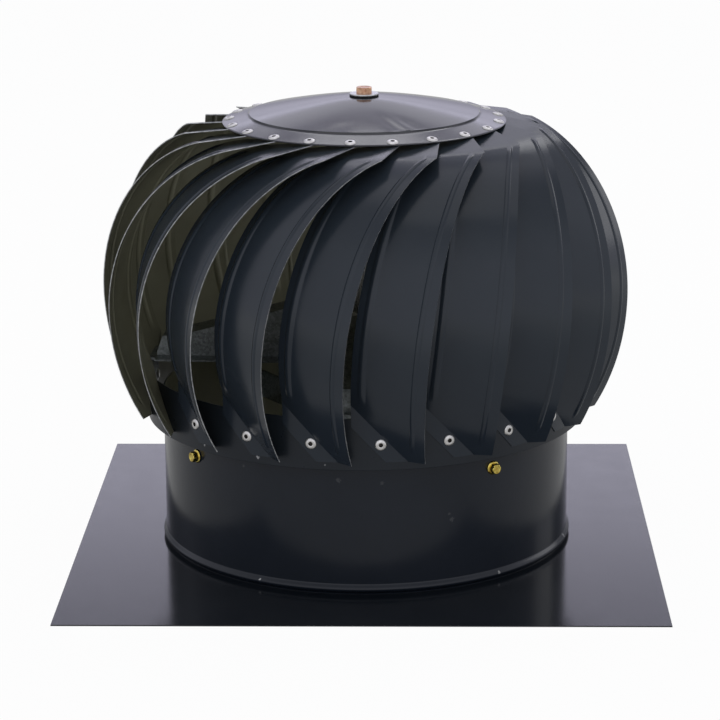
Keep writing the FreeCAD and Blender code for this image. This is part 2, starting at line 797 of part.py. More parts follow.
def blade_shape():
    """One blade: swept panel, folded foot tab on the ring and top tab under the cap's flange."""
    width = size("blade_width")
    wall = size("blade_thickness")
    seat = size("ring_radius") + wall / 2
    fold_inner = fold_lean()
    fold_outer = fold_inner - math.radians(size("fold_slant"))

    # Below the fold the panel narrows along a line on the ring, from its inner edge to its foot
    fold_top = blade_point(fold_inner, width)
    fold_angle = math.degrees(math.atan2(fold_top.x, -fold_top.y))
    fold_turn = (size("fold_end_angle") - fold_angle) / FOOT_ROWS
    fold_radius = seat / math.cos(math.radians(fold_turn / 2))
    rows = []
    for step in range(FOOT_ROWS, 0, -1):
        share = step / FOOT_ROWS
        lean = fold_outer + (FOOT_LEAN - fold_outer) * share
        height = fold_top.z + (size("foot_height") - fold_top.z) * share
        rows.append([blade_point(lean, 0), point(fold_radius, fold_angle + fold_turn * step, height)])

    # Above it the rows lean with the folds that a strip of sheet takes when it is bent to this form
    for step in range(PANEL_ROWS + 1):
        share = step / PANEL_ROWS
        outer_lean = fold_outer + (CORNER_LEAN - fold_outer) * share
        inner_lean = fold_inner + (CORNER_LEAN - fold_inner) * share
        rows.append([blade_point(outer_lean, 0), blade_point(inner_lean, width)])

    # The top tab is flat, from the panel's end to a line under the flange
    outer, inner = rows[-1]
    under = cap_surface(size("top_tab_radius")) - size("cap_wall") - wall / 2 - size("top_tab_gap")
    tip = point(size("top_tab_radius"), size("top_tab_angle"), under)
    tail = point(size("top_tab_tail_radius"), size("top_tab_tail_angle"), 0)
    normal = (inner - outer).cross(tip - outer)
    tail.z = outer.z - (normal.x * (tail.x - outer.x) + normal.y * (tail.y - outer.y)) / normal.z
    rows.append([tip, tail])

    # The foot tab is a piece of a thin tube round the ring
    corners = [
        (fold_angle, fold_top.z),
        (fold_angle, fold_top.z - size("foot_tab_drop")),
        (size("foot_tab_end_angle"), size("foot_height")),
        (size("fold_end_angle"), size("foot_height")),
    ]
    front = [point(seat, angle, height) for angle, height in corners]
    for corner in front:
        corner.y = -seat - width
    tube = Part.makeCylinder(seat + wall / 2, size("belly_height"))
    tube = tube.cut(Part.makeCylinder(seat - wall / 2, size("belly_height")))
    prism = Part.Face(Part.makePolygon(front + front[:1])).extrude(FreeCAD.Vector(0, 2 * width, 0))
    foot_tab = tube.common(prism)
    return folded_sheet(rows).fuse(foot_tab).removeSplitter()


def cap_surface(radius):
    """Height of the top of the cap's flange at a distance from the axis."""
    slope = size("cap_flange_rise") / (size("cap_radius") - size("crease_radius"))
    return size("cap_edge_height") + (size("cap_radius") - radius) * slope


def blade_turn(number):
    """Angle of one blade's foot rivet from the front."""
    return size("blade_angle") + 360 / size("blade_count") * number


def blades():
    """The ring of equal blades, each a sub-part of its own."""
    shape = blade_shape()
    for number in range(round(size("blade_count"))):
        turn = FreeCAD.Rotation(FreeCAD.Vector(0, 0, 1), blade_turn(number))
        new_feature("blade_%02d" % (number + 1), shape.copy(), FreeCAD.Placement(FreeCAD.Vector(), turn))


def rivet_group(label, seats):
    """Rivet heads on given seats, each a place and the direction its head points."""
    heads = []
    radius, crown, height = size("rivet_radius"), size("rivet_crown"), size("rivet_head")
    for place, direction in seats:
        heads.append(Part.makeCone(radius, crown, height, place, direction))
    new_feature(label, Part.makeCompound(heads))


def blade_rivets():
    """One rivet in each blade's foot tab and one through the cap's flange above its top tab."""
    foot_seats = []
    cap_seats = []
    # A flat head stands off a round wall by the wall's sag under it
    sag = size("rivet_radius") ** 2 / (2 * size("ring_radius"))
    slope = size("cap_flange_rise") / (size("cap_radius") - size("crease_radius"))
    for number in range(round(size("blade_count"))):
        angle = blade_turn(number)
        wall = size("ring_radius") + size("blade_thickness")
        foot_seats.append((point(wall, angle, size("foot_rivet_height")), point(1, angle, 0)))
        cap_angle = angle + size("cap_rivet_angle")
        radius = size("cap_rivet_radius")
        normal = point(slope, cap_angle, 1).normalize()
        cap_seats.append((point(radius, cap_angle, cap_surface(radius)) + normal * sag, normal))
    rivet_group("bottom_rivets", foot_seats)
    rivet_group("top_rivets", cap_seats)


def spider_rivets():
    """Rivets of the spider: arms to the hub, and brackets to the ring.

    A blade's own rivet also holds the bracket that it passes through. Other brackets have one of their own.
    """
    up = FreeCAD.Vector(0, 0, 1)
    hub_seats = []
    ring_seats = []
    for quarter in QUARTERS:
        angle = size("spider_angle") + QUARTER * quarter
        place = turned(angle)
        outward = place.multVec(FreeCAD.Vector(1, 0, 0))
        for side in (-1, 1):
            across = side * size("hub_rivet_spread")
            seat = FreeCAD.Vector(size("hub_rivet_radius"), across, size("arm_top"))
            hub_seats.append((place.multVec(seat), up))
        offset, height = -size("bracket_rivet_offset"), size("bracket_rivet_height")
        shared = [near for near in blade_rivet_offsets(angle) if abs(near) < size("bracket_width") / 2]
        if shared:
            offset, height = shared[0], size("foot_rivet_height")
        else:
            turn = angle + math.degrees(math.asin(offset / size("ring_radius")))
            ring_seats.append((point(size("ring_radius"), turn, height), point(1, turn, 0)))
        face = value(BRACKET_FACE + " - bracket_wall")
        ring_seats.append((place.multVec(FreeCAD.Vector(face, offset, height)), outward * -1))
    rivet_group("hub_rivets", hub_seats)
    rivet_group("bracket_rivets", ring_seats)


def blade_rivet_offsets(angle):
    """Sideways distances from a direction to the blades' foot rivets on the near side of the ring."""
    offsets = []
    for number in range(round(size("blade_count"))):
        turn = math.radians(blade_turn(number) - angle)
        if math.cos(turn) > 0:
            offsets.append(size("ring_radius") * math.sin(turn))
    return offsets


def check_and_export():
    """Stop on any failed object or bad shape, then write each sub-part to its own file."""
    doc.recompute()
    for item in doc.Objects:
        if "Invalid" in item.State or "Error" in item.State:
            raise RuntimeError("failed: " + item.Label)
    for piece in sub_parts:
        if piece.Shape.isNull() or not piece.Shape.isValid():
            raise RuntimeError("bad shape: " + piece.Label)
    os.makedirs("parts", exist_ok=True)
    for piece in sub_parts:
        piece.Shape.exportStep("parts/%s.step" % piece.Label)


base_plate()
collar()
for quarter in QUARTERS:
    bridge_arm(quarter)
bridge_screws()
bearing_housing()
bearings()
shaft()
spider_hub()
for quarter in QUARTERS:
    spider_arm(quarter)
    spider_bracket(quarter)
lower_ring()
top_cap()
cap_fixings()
blades()
blade_rivets()
spider_rivets()
check_and_export()
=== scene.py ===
import bmesh
import bpy
import json
import math
from mathutils import Matrix, Vector


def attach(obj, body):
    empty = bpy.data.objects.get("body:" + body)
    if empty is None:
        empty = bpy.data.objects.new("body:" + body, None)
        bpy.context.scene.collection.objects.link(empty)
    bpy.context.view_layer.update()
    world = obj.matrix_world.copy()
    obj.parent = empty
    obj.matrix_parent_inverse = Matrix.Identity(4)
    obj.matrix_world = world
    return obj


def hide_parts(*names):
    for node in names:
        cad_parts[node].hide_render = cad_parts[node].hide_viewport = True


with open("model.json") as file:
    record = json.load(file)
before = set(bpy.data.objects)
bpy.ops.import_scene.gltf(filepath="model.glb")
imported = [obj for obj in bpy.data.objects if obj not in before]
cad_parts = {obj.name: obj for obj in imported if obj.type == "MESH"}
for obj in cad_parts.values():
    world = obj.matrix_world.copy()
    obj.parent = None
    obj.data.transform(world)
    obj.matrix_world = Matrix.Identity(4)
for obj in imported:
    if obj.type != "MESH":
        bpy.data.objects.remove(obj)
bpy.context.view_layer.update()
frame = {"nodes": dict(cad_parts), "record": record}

MM = 0.001

# Sizes in millimetres and degrees, the same as those of the construction
RING_RADIUS = 191.0
SHEET = 0.8
BELLY_RADIUS = 224.5
BELLY_HEIGHT = 217.0
FOOT_HEIGHT = 119.5
FOOT_INSET = 26.8
CROWN_RADIUS = 92.4
CROWN_RISE = 149.1
CORNER_HEIGHT = 361.5
SWEEP_HEIGHT = 158.0
EDGE_OFFSET = 34.0
SWEEP_RADIUS = 547.0
FOOT_PITCH = 28.7
CORNER_PITCH = 5.2
BLADE_WIDTH = 64.0
BLADE_COUNT = 21
BLADE_ANGLE = 4.76
FOLD_END_ANGLE = 6.7
FOLD_SLANT = 5.4
FOOT_TAB_DROP = 18.5
FOOT_TAB_END_ANGLE = 1.3
TOP_TAB_RADIUS = 112.0
TOP_TAB_ANGLE = 47.5
TOP_TAB_TAIL_RADIUS = 108.0
TOP_TAB_TAIL_ANGLE = 13.4
TOP_TAB_GAP = 0.75
CAP_RADIUS = 121.7
CAP_EDGE_HEIGHT = 367.8
CAP_FLANGE_RISE = 5.1
CREASE_RADIUS = 100.1
DOME_RADIUS = 98.5
DOME_BASE = 374.5
DOME_TOP = 388.4
LAND_RADIUS = 14.0
CAP_WALL = 1.0
CAP_HOLE = 4.3
COLLAR_RADIUS = 177.5
COLLAR_WALL = 1.0
COLLAR_FOOT = 1.0
COLLAR_TOP = 134.0
BEAD_LOW = 1.4
BEAD_HIGH = 9.6
BEAD_DEPTH = 2.6
RING_WALL = 1.0
RING_LOW = 112.6
RING_HIGH = 156.0
WASHER_RADIUS = 12.5
WASHER_WALL = 1.2
BOLT_FLATS = 13.0
BOLT_HEAD = 5.3
SCREW_ANGLE = 34.4
SCREW_SEAT = 177.47
SCREW_OFFSET = 10.0
SCREW_HEIGHT = 99.5
SCREW_FLATS = 8.0
SCREW_HEAD = 4.5
SCREW_FLANGE_RADIUS = 5.8
SCREW_FLANGE = 1.2
TOP_RIVET_RADIUS = 116.1
TOP_RIVET_TURN = 42.14
BOTTOM_RIVET_HEIGHT = 134.6
LOWER_DEPTH = BELLY_HEIGHT - FOOT_HEIGHT
LOWER_RADIUS = (LOWER_DEPTH ** 2 + FOOT_INSET ** 2) / (2 * FOOT_INSET)


def point(radius, angle, height):
    """Place at an angle in degrees from the front, turning to the right."""
    turn = math.radians(angle)
    return Vector((radius * math.sin(turn), -radius * math.cos(turn), height))


# Materials

WHITE = (1.0, 1.0, 1.0)
DUST = (0.1, 0.1, 0.1)
BARE = (0.6, 0.6, 0.58)
# Galvanised tones about half as bright as bare zinc: painted shade of the rotor's inside, where the spider
# lies
SHADED_ZINC_DARK = (0.13, 0.143, 0.143)
SHADED_ZINC_LIGHT = (0.25, 0.27, 0.268)

# How fine each pattern is, in waves for each metre
CLOUD_SCALE = 14.0
WEAR_SCALE = 40.0
SPECK_SCALE = 260.0
ZINC_GRAIN_SCALE = 300.0
CRYSTAL_SCALE = 560.0
SCUFF_SCALE = 700.0
PEEL_SCALE = 900.0

# How much finer a metal's scratches are than its clouds
SCRATCH_FINENESS = 6

# The part of a noise's range that most of it lies in
NOISE_NARROW = (0.35, 0.65)
NOISE_WIDE = (0.3, 0.7)

# Values between which dust and scuffs set in, how ragged a scuff is, and the zinc's roughness
DUST_BY_UPWARD = (0.1, 1.0)
DUST_BY_GRAIN = (0.45, 0.8)
SCUFF_EDGE = (0.35, 0.6)
SCUFF_FALL = (1.0, -0.2)
SCUFF_RAGGED = (-0.4, 0.4)
ZINC_ROUGHNESS = (0.32, 0.55)

# Least and most roughness, in shares of the mean
PAINT_SHEEN = (0.85, 1.2)
METAL_SHEEN = (0.7, 1.3)


def new_material(name):
    """Material with its node tree, its shader and the place on the piece."""
    material = bpy.data.materials.new(name)
    material.use_nodes = True
    nodes = material.node_tree.nodes
    shader = nodes["Principled BSDF"]
    place = nodes.new("ShaderNodeTexCoord").outputs["Object"]
    return material, nodes, material.node_tree.links, shader, place


def add_noise(nodes, links, place, scale, detail=3.0, roughness=0.55):
    """Noise value on the piece."""
    texture = nodes.new("ShaderNodeTexNoise")
    texture.inputs["Scale"].default_value = scale
    texture.inputs["Detail"].default_value = detail
    texture.inputs["Roughness"].default_value = roughness
    links.new(place, texture.inputs["Vector"])
    return texture.outputs["Fac"]


def add_range(nodes, links, source, low, high, to_low=0.0, to_high=1.0):
    """Value stretched from one range to another, and kept inside it."""
    node = nodes.new("ShaderNodeMapRange")
    limits = {"From Min": low, "From Max": high, "To Min": to_low, "To Max": to_high}
    for name, number in limits.items():
        node.inputs[name].default_value = number
    links.new(source, node.inputs["Value"])
    return node.outputs["Result"]


def add_math(nodes, links, operation, first, second):
    """Two values joined by an operation; a plain number may stand for either."""
    node = nodes.new("ShaderNodeMath")
    node.operation = operation
    for source, slot in ((first, node.inputs[0]), (second, node.inputs[1])):
        if isinstance(source, (int, float)):
            slot.default_value = source
        else:
            links.new(source, slot)
    return node.outputs["Value"]


def add_mix(nodes, links, factor, first, second):
    """Colour between two colours, each a socket or a plain colour."""
    node = nodes.new("ShaderNodeMix")
    node.data_type = "RGBA"
    links.new(factor, node.inputs[0])
    for source, slot in ((first, node.inputs[6]), (second, node.inputs[7])):
        if isinstance(source, tuple):
            slot.default_value = (*source, 1.0)
        else:
            links.new(source, slot)
    return node.outputs[2]


def add_bump(nodes, links, shader, source, strength, distance):
    """Fine relief from a value."""
    node = nodes.new("ShaderNodeBump")
    node.inputs["Strength"].default_value = strength
    node.inputs["Distance"].default_value = distance
    links.new(source, node.inputs["Height"])
    links.new(node.outputs["Normal"], shader.inputs["Normal"])


def add_upward(nodes, links):
    """How far a surface faces upward."""
    geometry = nodes.new("ShaderNodeNewGeometry")
    parts = nodes.new("ShaderNodeSeparateXYZ")
    links.new(geometry.outputs["Normal"], parts.inputs["Vector"])
    return parts.outputs["Z"]


def add_scuff(nodes, links, place, spot, radius, strength):
    """Ragged scuff about a spot in millimetres."""
    distance = nodes.new("ShaderNodeVectorMath")
    distance.operation = "DISTANCE"
    distance.inputs[1].default_value = Vector(spot) * MM
    links.new(place, distance.inputs[0])
    near = add_range(nodes, links, distance.outputs["Value"], 0.0, radius * MM, *SCUFF_FALL)
    grain = add_noise(nodes, links, place, SCUFF_SCALE)
    ragged = add_range(nodes, links, grain, *NOISE_WIDE, *SCUFF_RAGGED)
    covered = add_math(nodes, links, "ADD", near, ragged)
    return add_range(nodes, links, covered, *SCUFF_EDGE, 0.0, strength)


def paint(name, dark, light, roughness, specular, dust_amount, scuffs):
    """Sprayed paint with a fine orange peel, cloudy tone, scuffs, and dust where it faces up."""
    material, nodes, links, shader, place = new_material(name)
    cloud = add_range(nodes, links, add_noise(nodes, links, place, CLOUD_SCALE), *NOISE_NARROW)
    tone = add_mix(nodes, links, cloud, dark, light)
    upward = add_range(nodes, links, add_upward(nodes, links), *DUST_BY_UPWARD)
    grains = add_noise(nodes, links, place, SPECK_SCALE, detail=5.0, roughness=0.7)
    specks = add_range(nodes, links, grains, *DUST_BY_GRAIN)
    settled = add_math(nodes, links, "MULTIPLY", upward, specks)
    dusty = add_math(nodes, links, "MULTIPLY", settled, dust_amount)
    tone = add_mix(nodes, links, dusty, tone, DUST)
    for spot, radius, strength in scuffs:
        tone = add_mix(nodes, links, add_scuff(nodes, links, place, spot, radius, strength), tone, BARE)
    links.new(tone, shader.inputs["Base Color"])
    wear = add_noise(nodes, links, place, WEAR_SCALE, detail=4.0)
    sheen = add_range(nodes, links, wear, *NOISE_WIDE, *(roughness * share for share in PAINT_SHEEN))
    links.new(sheen, shader.inputs["Roughness"])
    shader.inputs["Specular IOR Level"].default_value = specular
    peel = add_noise(nodes, links, place, PEEL_SCALE, detail=2.0)
    add_bump(nodes, links, shader, peel, strength=0.08, distance=0.0004)
    return material


def metal(name, dark, light, roughness, cloud_scale):
    """Plain metal with a cloudy tone and fine scratches."""
    material, nodes, links, shader, place = new_material(name)
    cloud = add_range(nodes, links, add_noise(nodes, links, place, cloud_scale, detail=5.0), *NOISE_NARROW)
    links.new(add_mix(nodes, links, cloud, dark, light), shader.inputs["Base Color"])
    scratches = add_noise(nodes, links, place, cloud_scale * SCRATCH_FINENESS, detail=4.0)
    sheen = add_range(nodes, links, scratches, *NOISE_WIDE, *(roughness * share for share in METAL_SHEEN))
    links.new(sheen, shader.inputs["Roughness"])
    shader.inputs["Metallic"].default_value = 1.0
    add_bump(nodes, links, shader, scratches, strength=0.05, distance=0.0002)
    return material


def galvanised_sheet(name):
    """Hot-dip zinc with its crystals, in tones about half as bright as bare zinc: painted shade of the
    rotor's inside.
    """
    material, nodes, links, shader, place = new_material(name)
    crystal = nodes.new("ShaderNodeTexVoronoi")
    crystal.inputs["Scale"].default_value = CRYSTAL_SCALE
    links.new(place, crystal.inputs["Vector"])
    shade = nodes.new("ShaderNodeSeparateColor")
    links.new(crystal.outputs["Color"], shade.inputs["Color"])
    tone = add_mix(nodes, links, shade.outputs["Red"], SHADED_ZINC_DARK, SHADED_ZINC_LIGHT)
    links.new(tone, shader.inputs["Base Color"])
    sheen = add_range(nodes, links, shade.outputs["Green"], 0.0, 1.0, *ZINC_ROUGHNESS)
    links.new(sheen, shader.inputs["Roughness"])
    shader.inputs["Metallic"].default_value = 0.85
    grain = add_noise(nodes, links, place, ZINC_GRAIN_SCALE)
    add_bump(nodes, links, shader, grain, strength=0.1, distance=0.0003)
    return material


# Marks on the collar and on the ring: place, reach and strength
COLLAR_SCUFFS = (
    ((-86.1, -157.5, 7.0), 1.9, 0.9),
    ((114.2, -138.5, 6.7), 2.4, 0.5),
    ((173.9, -46.0, 9.0), 5.0, 0.35),
    ((74.0, -161.4, 61.0), 4.5, 0.07),
    ((72.0, -162.3, 66.0), 2.5, 0.06),
    ((-19.5, -176.4, 99.9), 4.0, 0.07),
    ((16.6, -176.7, 97.5), 3.5, 0.06),
    ((-99.0, -147.3, 103.0), 2.5, 0.06),
)
RING_SCUFFS = (
    ((-32.8, -188.2, 124.2), 1.3, 0.7),
    ((-29.5, -188.7, 117.0), 1.6, 0.3),
    ((-131.3, -138.7, 118.4), 2.2, 0.5),
    ((-85.2, -170.9, 117.9), 2.6, 0.6),
)

# Painted looks: dark tone, light tone, roughness, specular level, dust and scuffs
PAINTS = {
    "plate_paint": ((0.006, 0.0085, 0.012), (0.009, 0.0115, 0.015), 0.11, 0.4, 0.05, ()),
    "collar_paint": ((0.0076, 0.0118, 0.019), (0.0106, 0.015, 0.023), 0.18, 0.33, 0.05, COLLAR_SCUFFS),
    "ring_paint": ((0.011, 0.015, 0.02), (0.015, 0.0195, 0.025), 0.32, 0.3, 0.05, RING_SCUFFS),
    "blade_paint": ((0.0185, 0.0255, 0.0345), (0.0225, 0.0305, 0.0395), 0.2, 0.33, 0.05, ()),
    "cap_paint": ((0.012, 0.0145, 0.019), (0.016, 0.0185, 0.023), 0.11, 0.55, 0.05, ()),
    "seal_rubber": ((0.012, 0.012, 0.012), (0.02, 0.02, 0.02), 0.6, 0.3, 0.1, ()),
    "inside_paint": ((0.25, 0.245, 0.165), (0.31, 0.305, 0.205), 0.45, 0.35, 0.1, ()),
}

# Metal looks: dark tone, light tone, roughness and scale of the clouds
METALS = {
    "yellow_zinc": ((0.46, 0.3, 0.05), (0.8, 0.68, 0.18), 0.22, 260.0),
    "aluminium": ((0.58, 0.57, 0.55), (0.78, 0.77, 0.75), 0.4, 300.0),
    "bright_steel": ((0.4, 0.4, 0.41), (0.58, 0.58, 0.58), 0.3, 60.0),
    "bearing_steel": ((0.5, 0.5, 0.51), (0.62, 0.62, 0.63), 0.18, 120.0),
    "white_zinc": ((0.5, 0.51, 0.52), (0.7, 0.71, 0.72), 0.35, 180.0),
    "bolt_zinc": ((0.4, 0.21, 0.13), (0.66, 0.42, 0.28), 0.3, 260.0),
    "cut_edge": ((0.25, 0.26, 0.27), (0.55, 0.56, 0.57), 0.4, 250.0),
    # rivet_hole: near-black metal for the rivets' hollows and stem ends, a painted shade in the hole
    "rivet_hole": ((0.02, 0.018, 0.016), (0.06, 0.055, 0.05), 0.5, 300.0),
}

MATERIALS = {name: paint(name, *look) for name, look in PAINTS.items()}
MATERIALS.update({name: metal(name, *look) for name, look in METALS.items()})
MATERIALS["galvanised"] = galvanised_sheet("galvanised")


# Shapes

SHARP_ANGLE = 32.0


def new_piece(name, corners, faces, looks, marks, sharp=SHARP_ANGLE):
    """Mesh object from corners in millimetres, with a mark for each face that picks one of its looks."""
    mesh = bpy.data.meshes.new(name)
    mesh.from_pydata([corner * MM for corner in corners], [], faces)
    for look in looks:
        mesh.materials.append(MATERIALS[look])
    mesh.polygons.foreach_set("material_index", marks)
    shell = bmesh.new()
    shell.from_mesh(mesh)
    bmesh.ops.recalc_face_normals(shell, faces=shell.faces)
    shell.to_mesh(mesh)
    shell.free()
    mesh.shade_smooth()
    mesh.set_sharp_from_angle(angle=math.radians(sharp))
    mesh.update()
    piece = bpy.data.objects.new(name, mesh)
    bpy.context.collection.objects.link(piece)
    return piece


def place_piece(piece, body, nodes):
    """Piece that rides on a body in place of the nodes it shows in finer form."""
    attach(piece, body)
    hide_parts(*nodes)


def sheet_faces(rows, columns, first):
    """Quads of both sides and of the rim of a sheet, with material marks 0, 1 and 2."""
    faces = []
    marks = []
    count = rows * columns
    for i in range(rows - 1):
        for j in range(columns - 1):
            a = first + i * columns + j
            quad = (a, a + 1, a + columns + 1, a + columns)
            faces.append(quad)
            faces.append(tuple(corner + count for corner in reversed(quad)))
            marks += [0, 1]
    rim = list(range(columns - 1))
    rim += [i * columns + columns - 1 for i in range(rows - 1)]
    rim += [(rows - 1) * columns + j for j in range(columns - 1, 0, -1)]
    rim += [i * columns for i in range(rows - 1, 0, -1)]
    for here, after in zip(rim, rim[1:] + rim[:1]):
        faces.append((first + after, first + here, first + here + count, first + after + count))
        marks.append(2)
    return faces, marks


def lathe(section, turns, marks):
    """Corners, faces and marks of a closed section of (radius, height) places turned about the axis."""
    corners = []
    faces = []
    face_marks = []
    count = len(section)
    for step in range(turns):
        for radius, height in section:
            corners.append(point(radius, 360 * step / turns, height))
        for i in range(count):
            here = step * count
            after = (step + 1) % turns * count
            faces.append((here + i, after + i, after + (i + 1) % count, here + (i + 1) % count))
            face_marks.append(marks[i])
    return corners, faces, face_marks


# Blades

OUTLINE_STEPS = 48
HALVINGS = 60


def belly_point(lean):
    """Radius, height and outward normal of the rotor's outline at an angle above its widest level."""
    if lean < 0:
        radius = BELLY_RADIUS - LOWER_RADIUS * (1 - math.cos(lean))
        return radius, BELLY_HEIGHT + LOWER_RADIUS * math.sin(lean), math.cos(lean), math.sin(lean)
    depth = BELLY_RADIUS - CROWN_RADIUS
    slope = math.hypot(CROWN_RISE * math.cos(lean), depth * math.sin(lean))
    radius = CROWN_RADIUS + depth * math.cos(lean)
    height = BELLY_HEIGHT + CROWN_RISE * math.sin(lean)
    return radius, height, CROWN_RISE * math.cos(lean) / slope, depth * math.sin(lean) / slope


def belly_length(lean):
    """Length along the rotor's outline from the level where the blade's edge is upright."""
    below = math.asin((SWEEP_HEIGHT - BELLY_HEIGHT) / LOWER_RADIUS)
    if lean < 0:
        return LOWER_RADIUS * (lean - below)
    length = -LOWER_RADIUS * below
    for step in range(OUTLINE_STEPS):
        here = belly_point(lean * step / OUTLINE_STEPS)
        after = belly_point(lean * (step + 1) / OUTLINE_STEPS)
        length += math.hypot(after[0] - here[0], after[1] - here[1])
    return length


FOOT_LEAN = math.asin((FOOT_HEIGHT - BELLY_HEIGHT) / LOWER_RADIUS)
CORNER_LEAN = math.asin((CORNER_HEIGHT - BELLY_HEIGHT) / CROWN_RISE)
FOOT_LENGTH = belly_length(FOOT_LEAN)
CORNER_LENGTH = belly_length(CORNER_LEAN)


def blade_point(lean, across):
    """Middle of the blade's sheet at a level of the outline, at a distance across from its outer edge."""
    radius, height, normal_out, normal_up = belly_point(lean)
    length = belly_length(lean)
    share = (length - FOOT_LENGTH) / (CORNER_LENGTH - FOOT_LENGTH)
    pitch = math.radians(FOOT_PITCH + (CORNER_PITCH - FOOT_PITCH) * share)
    sideways = EDGE_OFFSET + length ** 2 / (2 * SWEEP_RADIUS) - across * math.cos(pitch)
    depth = across * math.sin(pitch)
    return Vector((sideways, -(radius - depth * normal_out), height - depth * normal_up))


def cap_surface(radius):
    """Height of the top of the cap's flange at a distance from the axis."""
    return CAP_EDGE_HEIGHT + (CAP_RADIUS - radius) * CAP_FLANGE_RISE / (CAP_RADIUS - CREASE_RADIUS)


def fold_lean():
    """Level at which the blade's inner edge meets the tab that lies on the ring."""
    low, high = FOOT_LEAN, 0.0
    for step in range(HALVINGS):
        middle = (low + high) / 2
        inner = blade_point(middle, BLADE_WIDTH)
        if math.hypot(inner.x, inner.y) < RING_RADIUS + SHEET / 2:
            low = middle
        else:
            high = middle
    return high


FOOT_STEPS = 10
PANEL_STEPS = 60
TAB_STEPS = 6
FOOT_TAB_STEPS = 8
FOOT_TAB_GAP = 0.05

# Ribs: places across in shares of a half width, then sizes and places on the blade in millimetres
RIB_SHARES = (-1.25, -1.0, -0.88, -0.66, -0.42, -0.2, 0.0, 0.2, 0.42, 0.66, 0.88, 1.0, 1.25)
RIB_TOP_MARGIN = 6.0
OUTER_RIB_RISE = 0.9
OUTER_RIB_HALF_WIDTH = 2.4
OUTER_RIB_LOW = 11.2
OUTER_RIB_HIGH = 8.8
OUTER_RIB_START = 12.0
INNER_RIB = 55.0
INNER_RIB_RISE = 1.1
INNER_RIB_HALF_WIDTH = 3.4
INNER_RIB_MARGIN = 16.0

# Other corners across the blade, in millimetres from its outer edge
EDGE_COLUMNS = (0.0, 1.5, 3.5)
PANEL_COLUMNS = (18.0, 22.0, 27.0, 32.0, 37.0, 42.0, 46.0, 49.0)
INNER_COLUMNS = (60.5, 62.5, 64.0)


def rib_lift(aside, along, start, end, rise, half_width):
    """Height of a pressed half-round rib with round ends, at a distance from its middle line."""
    beyond = max(0.0, start - along, along - end)
    reach = math.hypot(aside, beyond) / half_width
    return rise * (1 - reach ** 2) if reach < 1 else 0.0


def row_places(width, outer_rib):
    """Distances from the outer edge of a row's corners, and the middle of its inner rib."""
    fixed = [*EDGE_COLUMNS, *(outer_rib + OUTER_RIB_HALF_WIDTH * share for share in RIB_SHARES)]
    limit = PANEL_COLUMNS[0]
    if width < limit:
        fixed = [place * width / limit for place in fixed]
        limit = width
    stretch = (width - limit) / (BLADE_WIDTH - PANEL_COLUMNS[0])
    inner_rib = [INNER_RIB + INNER_RIB_HALF_WIDTH * share for share in RIB_SHARES]
    rest = [*PANEL_COLUMNS, *inner_rib, *INNER_COLUMNS]
    places = fixed + [limit + (place - PANEL_COLUMNS[0]) * stretch for place in rest]
    return places, limit + (INNER_RIB - PANEL_COLUMNS[0]) * stretch


def blade_rows():
    """Outer and inner end of every row of the blade, and the angle and height of its fold."""
    fold_inner = fold_lean()
    fold_outer = fold_inner - math.radians(FOLD_SLANT)
    fold_top = blade_point(fold_inner, BLADE_WIDTH)
    fold_angle = math.degrees(math.atan2(fold_top.x, -fold_top.y))
    rows = []
    for step in range(FOOT_STEPS, 0, -1):
        share = step / FOOT_STEPS
        lean = fold_outer + (FOOT_LEAN - fold_outer) * share
        angle = fold_angle + (FOLD_END_ANGLE - fold_angle) * share
        height = fold_top.z + (FOOT_HEIGHT - fold_top.z) * share
        rows.append((blade_point(lean, 0), point(RING_RADIUS + SHEET / 2, angle, height)))
    for step in range(PANEL_STEPS + 1):
        share = step / PANEL_STEPS
        outer = blade_point(fold_outer + (CORNER_LEAN - fold_outer) * share, 0)
        inner = blade_point(fold_inner + (CORNER_LEAN - fold_inner) * share, BLADE_WIDTH)
        rows.append((outer, inner))
    outer, inner = rows[-1]
    under = cap_surface(TOP_TAB_RADIUS) - CAP_WALL - SHEET / 2 - TOP_TAB_GAP
    tip = point(TOP_TAB_RADIUS, TOP_TAB_ANGLE, under)
    tail = point(TOP_TAB_TAIL_RADIUS, TOP_TAB_TAIL_ANGLE, 0)
    normal = (inner - outer).cross(tip - outer)
    tail.z = outer.z - (normal.x * (tail.x - outer.x) + normal.y * (tail.y - outer.y)) / normal.z
    for step in range(1, TAB_STEPS + 1):
        share = step / TAB_STEPS
        rows.append((outer.lerp(tip, share), inner.lerp(tail, share)))
    return rows, fold_angle, fold_top.z


